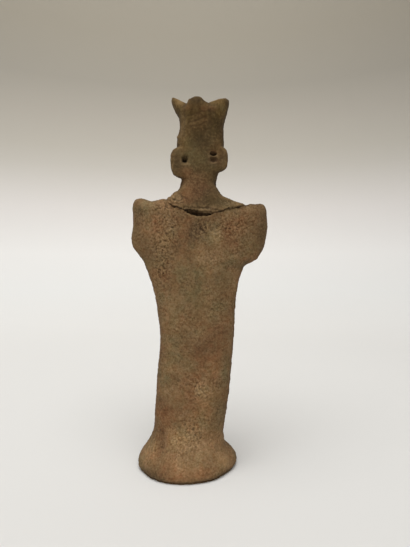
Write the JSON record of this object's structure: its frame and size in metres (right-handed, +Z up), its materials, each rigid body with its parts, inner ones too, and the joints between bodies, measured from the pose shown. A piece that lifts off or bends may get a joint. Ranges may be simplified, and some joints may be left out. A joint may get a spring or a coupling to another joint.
{
  "type": "terracotta votive idol",
  "caption": "Hand-modelled clay pillar figurine with a flared round foot, squared arm stubs, pierced ear flaps and a tall pinched crown.",
  "frame": {"origin": "middle of the flat underside of the foot", "axes": "+Z up along the figure, -Y out of its flat back, +Y out of its face, +X towards its own right-hand side"},
  "size_m": [0.0562, 0.0397, 0.1508],
  "materials": {
    "terracotta": "unglazed low-fired clay, dry and matt, with a gritty surface, reddish and olive patches and buried-soil patina"
  },
  "bodies": {
    "root": {"idol": "terracotta"}
  },
  "joints": []
}
